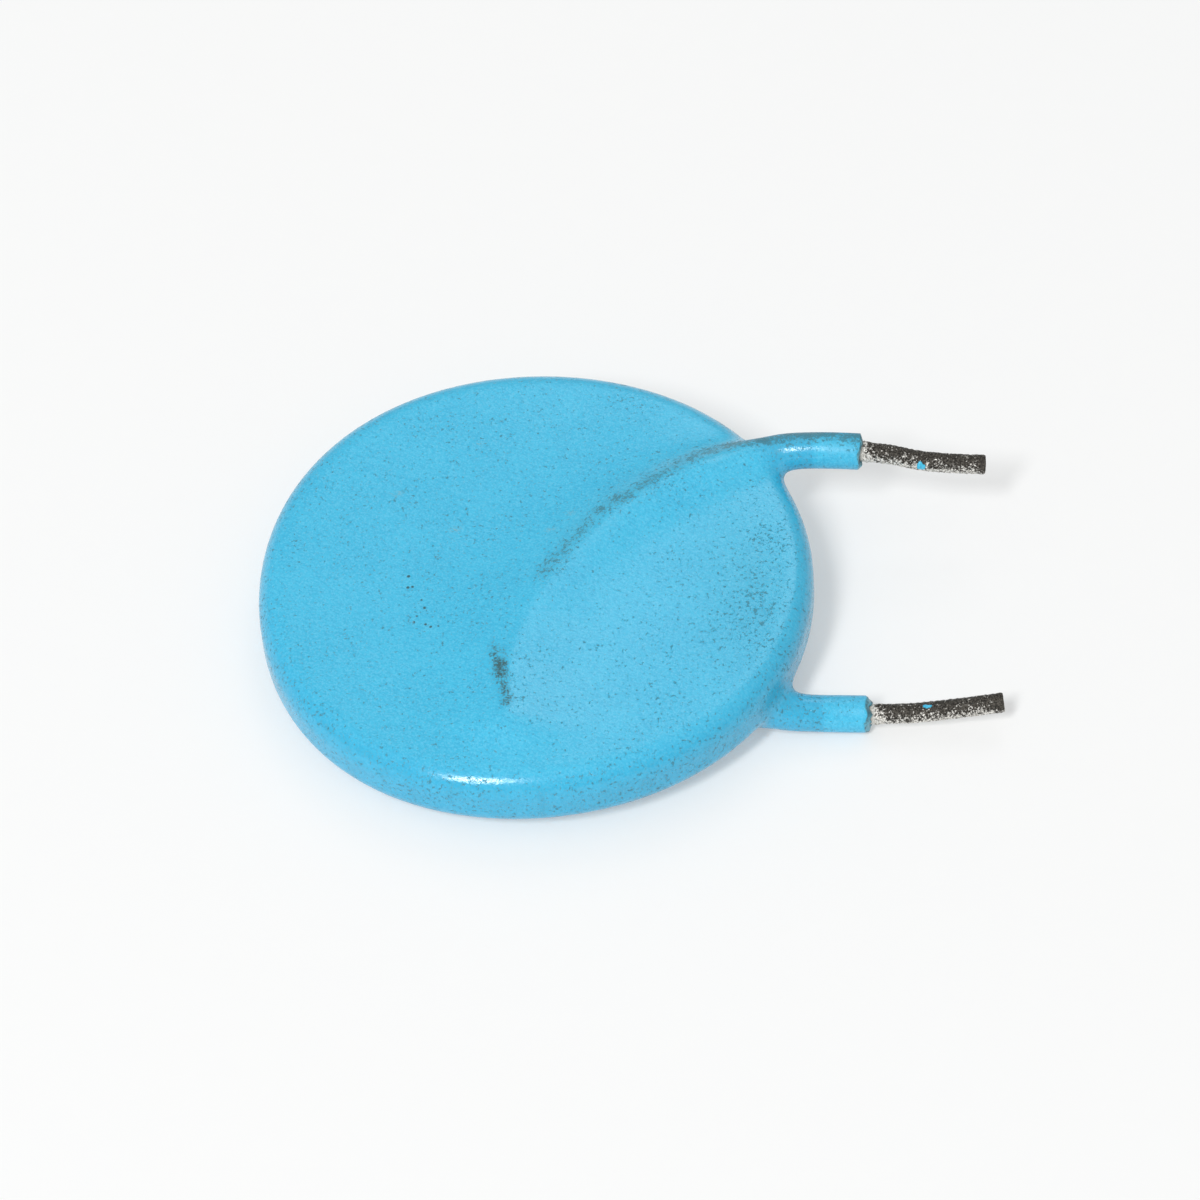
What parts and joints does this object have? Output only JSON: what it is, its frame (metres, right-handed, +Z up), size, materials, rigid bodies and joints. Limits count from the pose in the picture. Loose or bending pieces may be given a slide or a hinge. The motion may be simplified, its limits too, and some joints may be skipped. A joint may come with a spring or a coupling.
{
  "type": "disc varistor",
  "caption": "Disc varistor: zinc oxide disc with silvered faces and soldered wires, in a blue epoxy coat, leads cut short.",
  "frame": {"origin": "bottom centre of the part's box as it lies at rest on a flat surface", "axes": "+X runs from the disc towards the lead ends, +Y towards the upper lead's side, +Z up from the surface"},
  "size_m": [0.03, 0.0224, 0.0048],
  "materials": {
    "ceramic": "sintered, matte",
    "silver": "fired silver, satin",
    "solder": "soft solder, satin",
    "tinned_wire": "tinned copper, tarnished and rough",
    "epoxy": "glossy dipped epoxy"
  },
  "bodies": {
    "root": {"ceramic_disc": "ceramic", "electrode_upper": "silver", "electrode_lower": "silver", "solder_upper": "solder", "solder_lower": "solder", "lead_upper": "tinned_wire", "lead_lower": "tinned_wire", "coating": "epoxy"}
  },
  "joints": []
}
